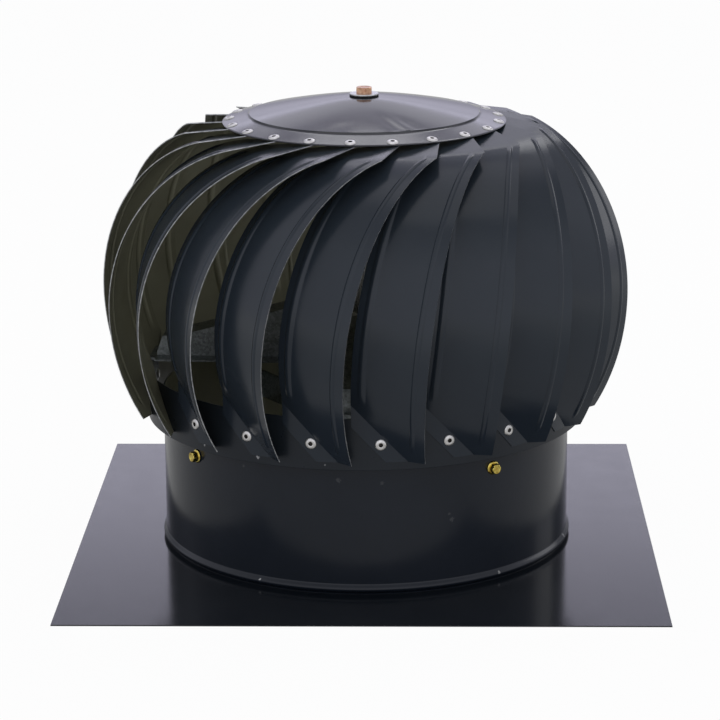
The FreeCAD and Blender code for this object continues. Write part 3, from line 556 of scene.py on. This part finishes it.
def blade_sheet():
    """Corners, faces and marks of one blade at the front."""
    rows, fold_angle, fold_height = blade_rows()
    lengths = [0.0]
    for before, after in zip(rows, rows[1:]):
        lengths.append(lengths[-1] + (after[0] - before[0]).length)
    rib_end = lengths[FOOT_STEPS + PANEL_STEPS] - RIB_TOP_MARGIN
    inner_start = lengths[FOOT_STEPS] + INNER_RIB_MARGIN
    middle = []
    lifts = []
    for i, (outer, inner) in enumerate(rows):
        width = (inner - outer).length
        outer_rib = OUTER_RIB_LOW + (OUTER_RIB_HIGH - OUTER_RIB_LOW) * min(lengths[i] / rib_end, 1.0)
        places, inner_rib = row_places(width, outer_rib)
        middle.append([outer.lerp(inner, place / width) for place in places])
        lifts.append([rib_lift(place - outer_rib, lengths[i], OUTER_RIB_START, rib_end, OUTER_RIB_RISE,
                               OUTER_RIB_HALF_WIDTH)
                      for place in places])
        if i >= FOOT_STEPS:
            lifts[i] = [lift + rib_lift(place - inner_rib, lengths[i], inner_start, rib_end, INNER_RIB_RISE,
                                        INNER_RIB_HALF_WIDTH)
                        for place, lift in zip(places, lifts[i])]
    sides = ([], [])
    for i, line in enumerate(middle):
        before, after = middle[max(i - 1, 0)], middle[min(i + 1, len(middle) - 1)]
        for j, corner in enumerate(line):
            run = after[j] - before[j]
            span = line[min(j + 1, len(line) - 1)] - line[max(j - 1, 0)]
            normal = run.cross(span).normalized()
            sides[0].append(corner + normal * (lifts[i][j] + SHEET / 2))
            sides[1].append(corner + normal * (lifts[i][j] - SHEET / 2))
    corners = sides[0] + sides[1]
    faces, marks = sheet_faces(len(rows), len(middle[0]), 0)

    # Foot tab on the ring
    tab = ((fold_angle, fold_height), (fold_angle, fold_height - FOOT_TAB_DROP),
           (FOOT_TAB_END_ANGLE, FOOT_HEIGHT), (FOLD_END_ANGLE, FOOT_HEIGHT))
    first = len(corners)
    for radius in (RING_RADIUS + SHEET, RING_RADIUS + FOOT_TAB_GAP):
        for i in range(FOOT_TAB_STEPS + 1):
            for j in range(FOOT_TAB_STEPS + 1):
                u, v = i / FOOT_TAB_STEPS, j / FOOT_TAB_STEPS
                spot = [(1 - u) * ((1 - v) * tab[0][k] + v * tab[1][k])
                        + u * ((1 - v) * tab[3][k] + v * tab[2][k])
                        for k in (0, 1)]
                corners.append(point(radius, *spot))
    tab_faces, tab_marks = sheet_faces(FOOT_TAB_STEPS + 1, FOOT_TAB_STEPS + 1, first)
    return corners, faces + tab_faces, marks + tab_marks


def blade_turn(number):
    """Angle of one blade from the front."""
    return BLADE_ANGLE + 360 / BLADE_COUNT * number


def add_blades():
    """All blades, which share one mesh."""
    corners, faces, marks = blade_sheet()
    looks = ("blade_paint", "inside_paint", "cut_edge")
    master = None
    for number in range(BLADE_COUNT):
        name = "blade_%02d" % (number + 1)
        if master is None:
            piece = new_piece(name + "_sheet", corners, faces, looks, marks)
            master = piece.data
        else:
            piece = bpy.data.objects.new(name + "_sheet", master)
            bpy.context.collection.objects.link(piece)
        piece.matrix_world = Matrix.Rotation(math.radians(blade_turn(number)), 4, "Z")
        place_piece(piece, "rotor", [name])


add_blades()


# Rivets: (radius, height) places from the rim of the head to the pulled stem in its hole

RIVET_PROFILE = (
    (4.75, 0.0), (4.75, 0.3), (4.5, 0.62), (3.9, 0.98), (3.1, 1.26), (2.3, 1.39),
    (1.9, 1.36), (1.7, 1.15), (1.65, 0.35), (0.9, 0.3), (0.7, 0.4),
)
# Profile steps from this one on, the hole's wall and floor and the stem's end, get the near-black look:
# painted shade
RIVET_SHADED_FROM = 7
RIVET_TURNS = 28
RIVET_SHARP_ANGLE = 50.0
FLANGE_SLOPE = CAP_FLANGE_RISE / (CAP_RADIUS - CREASE_RADIUS)


def rivet_heads(name, seats, nodes):
    """Blind rivets' heads with their pulled stems, on seats given by a place and a direction."""
    corners = []
    faces = []
    marks = []
    for seat, direction in seats:
        first = len(corners)
        stand = direction.to_track_quat("Z", "Y").to_matrix()
        for radius, height in RIVET_PROFILE:
            for step in range(RIVET_TURNS):
                turn = 2 * math.pi * step / RIVET_TURNS
                local = Vector((radius * math.cos(turn), radius * math.sin(turn), height))
                corners.append(seat + stand @ local)
        for i in range(len(RIVET_PROFILE) - 1):
            for step in range(RIVET_TURNS):
                a = first + i * RIVET_TURNS + step
                b = first + i * RIVET_TURNS + (step + 1) % RIVET_TURNS
                faces.append((a, b, b + RIVET_TURNS, a + RIVET_TURNS))
                marks.append(1 if i >= RIVET_SHADED_FROM else 0)
        faces.append(tuple(range(len(corners) - RIVET_TURNS, len(corners))))
        marks.append(1)
    piece = new_piece(name, corners, faces, ("aluminium", "rivet_hole"), marks, RIVET_SHARP_ANGLE)
    place_piece(piece, "rotor", nodes)


bottom_seats = []
top_seats = []
for number in range(BLADE_COUNT):
    angle = blade_turn(number)
    bottom_seats.append((point(RING_RADIUS + SHEET, angle, BOTTOM_RIVET_HEIGHT), point(1, angle, 0)))
    angle += TOP_RIVET_TURN
    seat = point(TOP_RIVET_RADIUS, angle, cap_surface(TOP_RIVET_RADIUS))
    top_seats.append((seat, point(FLANGE_SLOPE, angle, 1).normalized()))
rivet_heads("bottom_rivet_heads", bottom_seats, ["bottom_rivets"])
rivet_heads("top_rivet_heads", top_seats, ["top_rivets"])


# Turned pieces

TUBE_TURNS = 256
CAP_TURNS = 240
WASHER_TURNS = 96
BEAD_STEPS = 14
BEAD_FULLNESS = 0.7
BEAD_RUNOUT = (0.0, 0.4, 1.0)
RING_EDGE = 0.3
DOME_STEPS = 44
DOME_FULLNESS = 1.3
CAP_UNDERCUT = 0.1
WASHER_EDGE_SHARE = 0.3

# Cap's section outside the dome: crease, radii on the flange, and rim
CAP_CREASE = ((99.0, 374.0), (99.7, 373.25), (100.4, 372.87))
CAP_FLANGE_RADII = (101.5, 105.0, 110.0, 115.0, 120.0, 121.2)
CAP_RIM = ((121.62, 367.6), (121.7, 367.25), (121.5, 366.9))

# Dents in the dome: place, reach to the side, reach inward, slant in degrees, depth
DENTS = (
    (-17.0, -86.0, 5.0, 8.0, -30.0, 0.2),
    (24.0, -78.0, 4.5, 14.0, 26.0, 0.5),
    (39.0, -76.0, 4.0, 12.0, 38.0, 0.35),
    (31.0, -78.0, 4.0, 13.0, 30.0, -0.3),
)
DENT_LIMIT = DOME_RADIUS - 1


def add_collar():
    """Rolled tube with its rounded bead."""
    outer = [(COLLAR_RADIUS, COLLAR_FOOT), (COLLAR_RADIUS, BEAD_LOW)]
    for step in range(1, BEAD_STEPS):
        share = step / BEAD_STEPS
        bulge = BEAD_DEPTH * (0.5 - 0.5 * math.cos(2 * math.pi * share)) ** BEAD_FULLNESS
        outer.append((COLLAR_RADIUS + bulge, BEAD_LOW + (BEAD_HIGH - BEAD_LOW) * share))
    outer += [(COLLAR_RADIUS, BEAD_HIGH + rise) for rise in BEAD_RUNOUT]
    outer.append((COLLAR_RADIUS, COLLAR_TOP))
    section = outer + [(radius - COLLAR_WALL, height) for radius, height in reversed(outer)]
    marks = [0] * (len(outer) - 1) + [2] + [1] * (len(outer) - 1) + [2]
    looks = ("collar_paint", "inside_paint", "cut_edge")
    corners, faces, marks = lathe(section, TUBE_TURNS, marks)
    tube = new_piece("collar_tube", corners, faces, looks, marks)
    place_piece(tube, "base", ["collar"])


def add_ring():
    """Band of the rotor, painted outside and primed inside."""
    inner = RING_RADIUS - RING_WALL
    section = [
        (RING_RADIUS, RING_LOW + RING_EDGE), (RING_RADIUS, RING_HIGH - RING_EDGE),
        (RING_RADIUS - RING_EDGE, RING_HIGH), (inner + RING_EDGE, RING_HIGH),
        (inner, RING_HIGH - RING_EDGE), (inner, RING_LOW + RING_EDGE),
        (inner + RING_EDGE, RING_LOW), (RING_RADIUS - RING_EDGE, RING_LOW),
    ]
    looks = ("ring_paint", "inside_paint", "cut_edge")
    corners, faces, marks = lathe(section, TUBE_TURNS, [0, 0, 2, 1, 1, 1, 2, 0])
    band = new_piece("ring_band", corners, faces, looks, marks)
    place_piece(band, "rotor", ["lower_ring"])


def dent_depth(place):
    """How far the dome is pressed in at a place."""
    depth = 0.0
    for x, y, side, inward, slant, deep in DENTS:
        turn = math.radians(slant)
        dx, dy = place.x - x, place.y - y
        across = (dx * math.cos(turn) + dy * math.sin(turn)) / side
        along = (dy * math.cos(turn) - dx * math.sin(turn)) / inward
        depth += deep * math.exp(-(across ** 2 + along ** 2) / 2)
    return depth


def add_cap():
    """Pressed cap with its crease and dents."""
    upper = [(CAP_HOLE, DOME_TOP), (LAND_RADIUS, DOME_TOP)]
    for step in range(1, DOME_STEPS + 1):
        share = step / DOME_STEPS
        radius = LAND_RADIUS + (DOME_RADIUS - LAND_RADIUS) * share
        upper.append((radius, DOME_TOP - (DOME_TOP - DOME_BASE) * share ** DOME_FULLNESS))
    upper += CAP_CREASE
    upper += [(radius, cap_surface(radius)) for radius in CAP_FLANGE_RADII]
    lower = [(radius - CAP_UNDERCUT, height - CAP_WALL) for radius, height in reversed(upper)]
    section = [*upper, *CAP_RIM, *lower]
    marks = [0] * (len(upper) + len(CAP_RIM) - 1) + [1] * len(lower) + [0]
    corners, faces, marks = lathe(section, CAP_TURNS, marks)
    for corner in corners:
        if math.hypot(corner.x, corner.y) < DENT_LIMIT:
            corner.z -= dent_depth(corner)
    pressing = new_piece("cap_pressing", corners, faces, ("cap_paint", "inside_paint"), marks)
    place_piece(pressing, "rotor", ["top_cap"])


def add_washer(name, low, high, slot, node):
    """Round washer with soft edges."""
    soft = (high - low) * WASHER_EDGE_SHARE
    section = [
        (CAP_HOLE, low), (WASHER_RADIUS - soft, low), (WASHER_RADIUS, low + soft),
        (WASHER_RADIUS, high - soft), (WASHER_RADIUS - soft, high), (CAP_HOLE, high),
    ]
    corners, faces, marks = lathe(section, WASHER_TURNS, [0] * len(section))
    place_piece(new_piece(name, corners, faces, (slot,), marks), "rotor", [node])


# Hex heads

HEX_TURNS = 72
HEX_SECTOR = math.pi / 3

# Hex head's profile: shares of the height and of the flats, then the dish and its middle in millimetres
HEX_SHOULDER = 0.78
HEX_CHAMFER = ((0.53, 0.93), (0.47, 1.0), (0.36, 1.0))
HEX_DISH_SHARE = 0.33
HEX_DISH = 0.25
HEX_MIDDLE = 0.05

# Screw's flange: (radius, height) places below its hex
SCREW_SKIRT = (
    (SCREW_FLANGE_RADIUS - 0.2, 0.0), (SCREW_FLANGE_RADIUS, 0.2), (SCREW_FLANGE_RADIUS, 0.5),
    (SCREW_FLANGE_RADIUS - 0.7, 1.0), (SCREW_FLATS * 0.58, SCREW_FLANGE),
)


def hex_head(flats, height, skirt):
    """Corners and faces of a chamfered hex head above the places of its skirt, along +Z."""
    rings = [(radius, level, False) for radius, level in skirt]
    low = skirt[-1][1] if skirt else 0.0
    corner = flats / math.sqrt(3)
    dish = height - HEX_DISH
    outline = [(corner, low), (corner, height * HEX_SHOULDER)]
    outline += [(flats * across, height * up) for across, up in HEX_CHAMFER]
    outline += [(flats * HEX_DISH_SHARE, dish), (HEX_MIDDLE, dish)]
    rings += [(limit, level, True) for limit, level in outline]
    corners = []
    for limit, level, is_hex in rings:
        for step in range(HEX_TURNS):
            turn = 2 * math.pi * step / HEX_TURNS
            radius = limit
            if is_hex:
                from_flat = (turn + HEX_SECTOR / 2) % HEX_SECTOR - HEX_SECTOR / 2
                radius = min(limit, flats / 2 / math.cos(from_flat))
            corners.append(Vector((radius * math.cos(turn), radius * math.sin(turn), level)))
    faces = []
    for i in range(len(rings) - 1):
        for step in range(HEX_TURNS):
            a = i * HEX_TURNS + step
            b = i * HEX_TURNS + (step + 1) % HEX_TURNS
            faces.append((a, b, b + HEX_TURNS, a + HEX_TURNS))
    faces.append(tuple(range(len(corners) - HEX_TURNS, len(corners))))
    return corners, faces


def add_fixings():
    """Cap bolt on its washers, and the collar's screws."""
    seal_top = DOME_TOP + WASHER_WALL
    washer_top = seal_top + WASHER_WALL
    add_washer("cap_seal_ring", DOME_TOP, seal_top, "seal_rubber", "cap_seal")
    add_washer("cap_washer_ring", seal_top, washer_top, "white_zinc", "cap_washer")
    corners, faces = hex_head(BOLT_FLATS, BOLT_HEAD, [])
    lifted = [corner + Vector((0, 0, washer_top)) for corner in corners]
    bolt = new_piece("cap_bolt_head", lifted, faces, ("bolt_zinc",), [0] * len(faces))
    place_piece(bolt, "rotor", ["cap_bolt"])
    corners, faces = hex_head(SCREW_FLATS, SCREW_FLANGE + SCREW_HEAD, SCREW_SKIRT)
    all_corners = []
    all_faces = []
    for quarter in range(4):
        turn = Matrix.Rotation(math.radians(SCREW_ANGLE - 90 + 90 * quarter), 3, "Z")
        stand = turn @ Matrix.Rotation(math.radians(90), 3, "Y")
        seat = turn @ Vector((SCREW_SEAT, SCREW_OFFSET, SCREW_HEIGHT))
        first = len(all_corners)
        all_corners += [seat + stand @ corner for corner in corners]
        all_faces += [tuple(first + i for i in face) for face in faces]
    screws = new_piece("collar_screws", all_corners, all_faces, ("yellow_zinc",), [0] * len(all_faces))
    place_piece(screws, "base", ["bridge_screws"])


add_collar()
add_ring()
add_cap()
add_fixings()


# Looks of the nodes that show as they were built, and rounded edges in millimetres on some

SOFT_EDGES = {
    "base_plate": 0.3,
    "spider_arm_1": 0.5,
    "spider_arm_2": 0.5,
    "spider_arm_3": 0.5,
    "spider_arm_4": 0.5,
}
SOFT_EDGE_SEGMENTS = 2
SOFT_EDGE_ANGLE = 40

for subpart in frame["record"]["subparts"]:
    piece = frame["nodes"][subpart["node"]]
    piece.data.materials.clear()
    piece.data.materials.append(MATERIALS[subpart["material_slot"]])
for name, width in SOFT_EDGES.items():
    soften = frame["nodes"][name].modifiers.new("soft_edges", "BEVEL")
    soften.width = width * MM
    soften.segments = SOFT_EDGE_SEGMENTS
    soften.limit_method = "ANGLE"
    soften.angle_limit = math.radians(SOFT_EDGE_ANGLE)


# Stage

STAGE_DARK = (0.78, 0.78, 0.78)
STAGE_LIGHT = (0.8, 0.8, 0.8)
STAGE_ROUGHNESS = 0.9
STAGE_CLOUD_SCALE = 3.0
STAGE_GLOW_SHARE = 0.96
FLOOR_REACH = 20.0
FLOOR_HEIGHT = -0.0005

# Floor in mirrors: two distances from the object or two places along Y, and the factor at each; the dimming
# near the object is painted shade
FLOOR_SHADE_BY_DISTANCE = (0.7, 2.4, 0.5, 0.9)
FLOOR_BY_Y = (1.5, 3.5, 1.0, 0.6)


def ray_kinds(nodes, links):
    """1 for rays from the camera, and 1 for those that a mirror or glass turns."""
    path = nodes.new("ShaderNodeLightPath")
    mirrored = path.outputs["Is Glossy Ray"]
    turned = add_math(nodes, links, "MAXIMUM", mirrored, path.outputs["Is Transmission Ray"])
    return path.outputs["Is Camera Ray"], turned


def stage_material():
    """Pale stage that shows white round the object and keeps a soft shadow."""
    material, nodes, links, shader, place = new_material("stage")
    cloud = add_noise(nodes, links, place, STAGE_CLOUD_SCALE)
    links.new(add_mix(nodes, links, cloud, STAGE_DARK, STAGE_LIGHT), shader.inputs["Base Color"])
    shader.inputs["Roughness"].default_value = STAGE_ROUGHNESS
    glow = nodes.new("ShaderNodeEmission")
    straight, turned = ray_kinds(nodes, links)
    away = nodes.new("ShaderNodeVectorMath")
    away.operation = "LENGTH"
    links.new(place, away.inputs[0])
    parts = nodes.new("ShaderNodeSeparateXYZ")
    links.new(place, parts.inputs["Vector"])

    # Where the floor is mirrored, it is darker near the object, as painted shade of the object, and far
    # behind it
    outward = add_range(nodes, links, away.outputs["Value"], *FLOOR_SHADE_BY_DISTANCE)
    backward = add_range(nodes, links, parts.outputs["Y"], *FLOOR_BY_Y)
    mirrored = add_math(nodes, links, "MULTIPLY", outward, backward)
    links.new(add_math(nodes, links, "MAXIMUM", straight, mirrored), glow.inputs["Strength"])
    blend = nodes.new("ShaderNodeMixShader")
    seen = add_math(nodes, links, "MAXIMUM", straight, turned)
    links.new(add_math(nodes, links, "MULTIPLY", seen, STAGE_GLOW_SHARE), blend.inputs["Fac"])
    links.new(shader.outputs["BSDF"], blend.inputs[1])
    links.new(glow.outputs["Emission"], blend.inputs[2])
    links.new(blend.outputs["Shader"], nodes["Material Output"].inputs["Surface"])
    return material


floor_sides = ((-1, -1), (1, -1), (1, 1), (-1, 1))
floor_corners = [(x * FLOOR_REACH, y * FLOOR_REACH, FLOOR_HEIGHT) for x, y in floor_sides]
floor_mesh = bpy.data.meshes.new("floor")
floor_mesh.from_pydata(floor_corners, [], [(0, 1, 2, 3)])
floor_mesh.materials.append(stage_material())
floor = bpy.data.objects.new("floor", floor_mesh)
bpy.context.collection.objects.link(floor)


# Lamps: name, place, point that it faces, width, height and power
LAMPS = (
    ("top_box", (0.0, 0.0, 2.0), (0.0, 0.0, 0.2), 1.6, 1.6, 4.5),
    ("middle_strip", (0.0, 2.1, 1.34), (0.0, -0.1, 0.37), 1.0, 0.36, 0.4),
    ("high_strip", (0.0, 1.96, 1.95), (0.0, -0.1, 0.37), 1.3, 0.28, 1.6),
    ("high_right_box", (0.67, 1.56, 2.06), (0.15, -0.05, 0.36), 0.5, 0.5, 2.4),
    ("right_box", (2.05, 1.2, 1.1), (0.0, 0.0, 0.2), 0.9, 1.2, 3.9),
)


def add_lamp(name, place, target, width, height, energy):
    """Soft box that faces a point and isn't seen itself."""
    lamp = bpy.data.lights.new(name, "AREA")
    lamp.shape = "RECTANGLE"
    lamp.size = width
    lamp.size_y = height
    lamp.energy = energy
    item = bpy.data.objects.new(name, lamp)
    item.location = place
    item.rotation_euler = (Vector(target) - Vector(place)).to_track_quat("-Z", "Y").to_euler()
    item.visible_camera = False
    bpy.context.collection.objects.link(item)


for lamp_values in LAMPS:
    add_lamp(*lamp_values)


# Surroundings in mirrors: two values of a direction's X, Y or Z, and the factor at each
BACKDROP_BY_X = (0.25, 0.5, 1.0, 0.25)
BACKDROP_BY_Y = (0.0, 0.2, 0.0, 1.0)
BACKDROP_BY_Z = ((0.05, 0.2, 0.5, 1.1), (0.265, 0.29, 1.0, 1.75), (0.295, 0.34, 1.0, 0.4))
SIDES_BY_Y = (0.45, 0.7, 1.0, 0.38)
FRONT_BY_Y = (-0.8, -0.3, 1.0, 0.8)
OVERHEAD_BY_Z = (0.6, 0.9, 1.0, 0.6)
BACK_TINT = (0.95, 0.93, 1.13)
SIDE_TINT = (0.97, 0.98, 1.06)
SOFT_LEVEL = 0.6


def studio_world():
    """White surroundings that show a banded backdrop in mirrors and light dull surfaces softly."""
    world = bpy.data.worlds.new("studio")
    world.use_nodes = True
    nodes = world.node_tree.nodes
    links = world.node_tree.links
    background = nodes["Background"]
    straight, turned = ray_kinds(nodes, links)
    parts = nodes.new("ShaderNodeSeparateXYZ")
    links.new(nodes.new("ShaderNodeTexCoord").outputs["Generated"], parts.inputs["Vector"])

    # Backdrop behind the object, fading to the sides
    aside = add_math(nodes, links, "ABSOLUTE", parts.outputs["X"], 0.0)
    central = add_range(nodes, links, aside, *BACKDROP_BY_X)
    back_half = add_range(nodes, links, parts.outputs["Y"], *BACKDROP_BY_Y)
    backdrop = add_math(nodes, links, "MULTIPLY", back_half, central)
    behind = backdrop
    for limits in BACKDROP_BY_Z:
        band = add_range(nodes, links, parts.outputs["Z"], *limits)
        behind = add_math(nodes, links, "MULTIPLY", behind, band)

    # Sides and front, and all of it dimmer overhead
    beside = add_range(nodes, links, parts.outputs["Y"], *SIDES_BY_Y)
    before = add_range(nodes, links, parts.outputs["Y"], *FRONT_BY_Y)
    around = add_math(nodes, links, "MULTIPLY", beside, before)
    bright = add_math(nodes, links, "MAXIMUM", behind, around)
    overhead = add_range(nodes, links, parts.outputs["Z"], *OVERHEAD_BY_Z)
    dimmed = add_math(nodes, links, "MULTIPLY", bright, overhead)

    # White for the camera, these levels in mirrors and one level for the rest
    mirrored = add_math(nodes, links, "MULTIPLY", turned, dimmed)
    dull = add_math(nodes, links, "SUBTRACT", 1.0, turned)
    soft = add_math(nodes, links, "MULTIPLY", dull, SOFT_LEVEL)
    lit = add_math(nodes, links, "MAXIMUM", mirrored, soft)
    links.new(add_math(nodes, links, "MAXIMUM", straight, lit), background.inputs["Strength"])
    tint = add_mix(nodes, links, backdrop, SIDE_TINT, BACK_TINT)
    links.new(add_mix(nodes, links, straight, tint, WHITE), background.inputs["Color"])
    return world


bpy.context.scene.world = studio_world()


# Camera at the photograph's place: sensor and lens in millimetres, place in metres, angles in degrees

CAMERA_SENSOR = 36.0
CAMERA_LENS = 134.85
CAMERA_PLACE = (0.0, -2.2851, 0.77456)
CAMERA_ANGLES = (15.189, -0.123, -0.359)
CAMERA_TURN = 1.187

camera = bpy.data.cameras.new("camera")
camera.sensor_width = CAMERA_SENSOR
camera.lens = CAMERA_LENS
eye = bpy.data.objects.new("camera", camera)
elevation, azimuth, roll = (math.radians(angle) for angle in CAMERA_ANGLES)
reach = math.cos(elevation)
forward = Vector((math.sin(azimuth) * reach, math.cos(azimuth) * reach, -math.sin(elevation)))
level = Vector((math.cos(azimuth), -math.sin(azimuth), 0.0))
upright = level.cross(forward)
right = math.cos(roll) * level + math.sin(roll) * upright
upward = -math.sin(roll) * level + math.cos(roll) * upright
view = Matrix((right, upward, -forward)).transposed().to_4x4()
view.translation = Vector(CAMERA_PLACE)
eye.matrix_world = Matrix.Rotation(math.radians(CAMERA_TURN), 4, "Z") @ view
bpy.context.collection.objects.link(eye)
bpy.context.scene.camera = eye

bpy.context.scene.view_settings.view_transform = "Standard"
